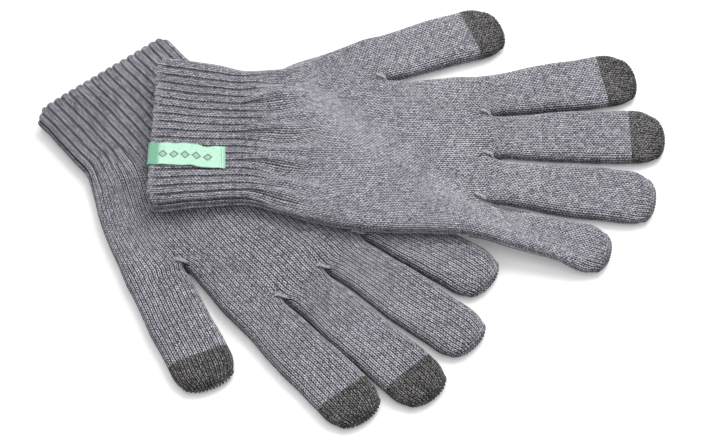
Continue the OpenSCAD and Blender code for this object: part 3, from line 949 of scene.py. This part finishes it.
def yarn_material(name, dark, mid, light, gap, sheen, fibre=1.0, stitched=True):
    """Melange yarn: fibres of several greys twisted together, with a gap colour painted as shade between the
    strands and in the cloth's hollows.
    """
    m, nt, bsdf = new_material(name)

    def vary(mix, fac, strength):
        swing = maths(nt, "MULTIPLY", maths(nt, "SUBTRACT", fac, 0.5), strength)
        return maths(nt, "ADD", mix, swing)

    space = node(nt, "ShaderNodeTexCoord")
    tone = node(nt, "ShaderNodeAttribute", attribute_name="tone")
    hollow = node(nt, "ShaderNodeAttribute", attribute_name="hollow")
    fine = node(nt, "ShaderNodeTexNoise", Scale=1900.0, Detail=3.0, Roughness=0.65)
    broad = node(nt, "ShaderNodeTexNoise", Scale=42.0, Detail=3.0, Roughness=0.55)
    for n in (fine, broad):
        nt.links.new(space.outputs["Object"], n.inputs["Vector"])
    # deep is how much painted shade a point gets: its mesh attribute, and below, the dark between the
    # strands
    deep = hollow.outputs["Fac"]
    mix = maths(nt, "MULTIPLY", tone.outputs["Fac"], 0.03)
    if stitched:
        wale = node(nt, "ShaderNodeAttribute", attribute_name="wale").outputs["Fac"]
        course = node(nt, "ShaderNodeAttribute", attribute_name="course").outputs["Fac"]
        height, ply = stitch_height(nt, wale, course)
        cell = nt.nodes.new("ShaderNodeCombineXYZ")
        nt.links.new(maths(nt, "FLOOR", maths(nt, "MULTIPLY", wale, 2.0)), cell.inputs[0])
        nt.links.new(maths(nt, "FLOOR", course), cell.inputs[1])
        slack = nt.nodes.new("ShaderNodeTexWhiteNoise")
        nt.links.new(cell.outputs[0], slack.inputs["Vector"])
        mix = vary(mix, slack.outputs["Value"], 0.34)
        mix = maths(nt, "ADD", mix, maths(nt, "MULTIPLY", ply, 0.06))
        # Painted shade between the strands of each stitch, where the stitch height is low
        between = nt.nodes.new("ShaderNodeMapRange")
        between.interpolation_type = "SMOOTHSTEP"
        between.inputs["From Min"].default_value = 0.93
        between.inputs["From Max"].default_value = 0.3
        nt.links.new(height, between.inputs["Value"])
        deep = maths(nt, "ADD", deep, between.outputs["Result"], clamp=True)
    mix = vary(mix, fine.outputs["Fac"], 3.0 * fibre)
    mix = vary(mix, broad.outputs["Fac"], 0.35)
    mix = maths(nt, "ADD", mix, 0.5, clamp=True)
    colour = ramp(nt, [(0.0, dark), (0.5, mid), (1.0, light)])
    nt.links.new(mix, colour.inputs["Fac"])
    # The gap colour is painted shade, laid over the yarn by deep
    nt.links.new(blended(nt, deep, colour.outputs["Color"], gap), bsdf.inputs["Base Color"])
    rough = maths(nt, "ADD", maths(nt, "MULTIPLY", fine.outputs["Fac"], 0.16), 0.78)
    nt.links.new(rough, bsdf.inputs["Roughness"])
    bsdf.inputs["Specular IOR Level"].default_value = 0.25
    bsdf.inputs["Sheen Weight"].default_value = sheen
    bsdf.inputs["Sheen Roughness"].default_value = 0.55
    bsdf.inputs["Sheen Tint"].default_value = (0.86, 0.86, 0.92, 1)
    fibres = node(nt, "ShaderNodeTexNoise", Scale=3400.0, Detail=1.0)
    nt.links.new(space.outputs["Object"], fibres.inputs["Vector"])
    bump = node(nt, "ShaderNodeBump", Strength=0.55, Distance=0.00016)
    nt.links.new(fibres.outputs["Fac"], bump.inputs["Height"])
    if stitched:
        legs = node(nt, "ShaderNodeBump", Strength=0.7, Distance=0.0003)
        nt.links.new(maths(nt, "ADD", height, maths(nt, "MULTIPLY", ply, 0.12)), legs.inputs["Height"])
        nt.links.new(legs.outputs["Normal"], bump.inputs["Normal"])
    nt.links.new(bump.outputs["Normal"], bsdf.inputs["Normal"])
    return m


def label_material():
    """Woven tape, darker in its motif and its selvedges, with painted shade on its fold."""
    m, nt, bsdf = new_material("woven_label")
    motif = node(nt, "ShaderNodeAttribute", attribute_name="motif")
    edge = node(nt, "ShaderNodeAttribute", attribute_name="edge")
    fold = node(nt, "ShaderNodeAttribute", attribute_name="fold")
    across = node(nt, "ShaderNodeAttribute", attribute_name="across")
    run = node(nt, "ShaderNodeAttribute", attribute_name="run")
    space = node(nt, "ShaderNodeTexCoord")
    noise = node(nt, "ShaderNodeTexNoise", Scale=900.0, Detail=2.0)
    nt.links.new(space.outputs["Object"], noise.inputs["Vector"])
    warp = maths(nt, "SINE", maths(nt, "MULTIPLY", across.outputs["Fac"], 150.0))
    weft = maths(nt, "SINE", maths(nt, "MULTIPLY", run.outputs["Fac"], 16.0))
    weave = maths(nt, "MULTIPLY", warp, weft)
    pattern = maths(nt, "ADD", maths(nt, "MULTIPLY", weave, 0.16), noise.outputs["Fac"])
    base = ramp(nt, [(0.2, (0.40, 0.76, 0.55)), (0.5, (0.54, 0.88, 0.68)), (0.85, (0.66, 0.96, 0.78))])
    nt.links.new(pattern, base.inputs["Fac"])
    last = base.outputs["Color"]
    # The fold's colour is painted shade
    for fac, colour, share in (
        (fold.outputs["Fac"], (0.15, 0.43, 0.28), 0.9),
        (edge.outputs["Fac"], (0.17, 0.52, 0.32), 0.5),
        (motif.outputs["Fac"], (0.17, 0.27, 0.22), 0.92),
    ):
        last = blended(nt, maths(nt, "MULTIPLY", fac, share), last, colour)
    nt.links.new(last, bsdf.inputs["Base Color"])
    rough = maths(nt, "ADD", maths(nt, "MULTIPLY", noise.outputs["Fac"], 0.2), 0.42)
    nt.links.new(rough, bsdf.inputs["Roughness"])
    bsdf.inputs["Sheen Weight"].default_value = 0.15
    bump = node(nt, "ShaderNodeBump", Strength=0.5, Distance=0.0001)
    nt.links.new(weave, bump.inputs["Height"])
    nt.links.new(bump.outputs["Normal"], bsdf.inputs["Normal"])
    return m


grey = yarn_material("grey_melange_yarn", (0.075, 0.072, 0.092), (0.44, 0.43, 0.485), (0.92, 0.92, 0.99),
                     (0.011, 0.011, 0.015), 0.06)
strand_grey = yarn_material("grey_binding_yarn", (0.20, 0.20, 0.22), (0.46, 0.46, 0.49), (0.72, 0.72, 0.76),
                            (0.03, 0.03, 0.037), 0.08, stitched=False)
dark = yarn_material("conductive_yarn", (0.018, 0.017, 0.017), (0.135, 0.129, 0.127), (0.48, 0.47, 0.46),
                     (0.005, 0.005, 0.005), 0.06, 1.3)
white = yarn_material("elastic_yarn", (0.50, 0.50, 0.49), (0.68, 0.68, 0.66), (0.86, 0.86, 0.84),
                      (0.3, 0.3, 0.3), 0.1, 0.5, stitched=False)
thread = yarn_material("sewing_thread", (0.12, 0.32, 0.20), (0.20, 0.44, 0.29), (0.34, 0.60, 0.43),
                       (0.1, 0.2, 0.12), 0.1, 0.5, stitched=False)
tape = label_material()


def dress(name, material, slot, *nodes, body=None):
    """Gives a piece its material, hides the CAD nodes it stands for, and attaches it to the body it rides
    on; slot is not used.
    """
    ob = bpy.data.objects[name]
    ob.data.materials.append(material)
    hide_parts(*nodes)
    if body:
        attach(ob, body)
    return ob


for side, glove in GLOVES.items():
    hand = f"{side}_hand"
    dress(f"{side}_cuff_knit", grey, "knit_yarn", f"{side}_cuff", body=hand)
    dress(f"{side}_welt_knit", grey, "knit_yarn", f"{side}_cuff_welt", body=hand)
    dress(f"{side}_hand_lower_knit", grey, "knit_yarn", f"{side}_hand_lower", body=hand)
    dress(f"{side}_hand_upper_knit", grey, "knit_yarn", f"{side}_hand_upper", body=hand)
    dress(f"{side}_crotch_yarn", strand_grey, "knit_yarn", f"{side}_crotch_stitches", body=hand)
    dress(f"{side}_elastic_twist", white, "elastic", f"{side}_elastic_yarn", body=hand)
    for f, name in enumerate(NAMES):
        ob = dress(f"{side}_{name}_sleeve_knit", grey, "knit_yarn", f"{side}_{name}_sleeve")
        d, _ = glove.axes(f)
        ends = np.array([glove.roots[f] + 0.3 * d, glove.roots[f] + BEND_LENGTH * d])
        height = glove.lift(ends) + FINGER_THICK / 2
        start, end = glove.world(np.concatenate([ends, height[:, None]], 1))
        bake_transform(ob)
        if f < RING:
            dress(f"{side}_{name}_tip_knit", dark, "conductive_yarn", f"{side}_{name}_tip",
                  body=f"{side}_{name}")
dress("right_label_tape", tape, "label_tape", "right_label", body="right_hand")
dress("right_label_thread", thread, "label_thread", "right_label_stitches", body="right_hand")

# --------------------------------------------------------- floor, light and camera
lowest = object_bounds()[0].z
bpy.ops.mesh.primitive_plane_add(size=12, location=(0, 0, min(lowest, 0.0) - 0.0003))
floor = bpy.context.object
floor.name = "floor"
m, nt, bsdf = new_material("pale_floor")
bsdf.inputs["Base Color"].default_value = (0.95, 0.95, 0.95, 1)
bsdf.inputs["Roughness"].default_value = 0.9
bsdf.inputs["Specular IOR Level"].default_value = 0.0
bsdf.inputs["Emission Color"].default_value = (1, 1, 1, 1)
bsdf.inputs["Emission Strength"].default_value = 0.12
floor.data.materials.append(m)

world = bpy.data.worlds.new("studio")
bpy.context.scene.world = world
world.use_nodes = True
world.node_tree.nodes["Background"].inputs["Color"].default_value = (1, 1, 1, 1)
world.node_tree.nodes["Background"].inputs["Strength"].default_value = 0.74


def facing(way):
    """The turn that points a light or a camera along a direction."""
    return Vector([float(x) for x in way]).to_track_quat("-Z", "Y").to_euler()


def soft_light(name, place, size, energy):
    """A round area light aimed at the middle of the pair."""
    data = bpy.data.lights.new(name, "AREA")
    data.shape, data.size, data.energy = "DISK", size, energy
    ob = bpy.data.objects.new(name, data)
    bpy.context.scene.collection.objects.link(ob)
    ob.location = place
    ob.rotation_euler = facing(-np.array(place))


soft_light("key", (0.35, 0.5, 1.25), 0.8, 9.0)
soft_light("fill", (0.0, -0.4, 1.35), 0.9, 2.6)

camera_data = bpy.data.cameras.new("camera")
camera = bpy.data.objects.new("camera", camera_data)
bpy.context.scene.collection.objects.link(camera)
target = np.array([0.0025, -0.0041, 0.0])
azimuth, elevation, distance = math.radians(-0.7), math.radians(51.0), 1.42
away = np.array([math.sin(azimuth) * math.cos(elevation), -math.cos(azimuth) * math.cos(elevation),
                 math.sin(elevation)])
camera.location = target + distance * away
camera.rotation_euler = facing(target - np.array(camera.location))
camera_data.lens, camera_data.sensor_width = 160.0, 36.0
bpy.context.scene.camera = camera
bpy.context.scene.view_settings.view_transform = "Standard"
bpy.context.scene.view_settings.look = "None"

bpy.context.view_layer.update()
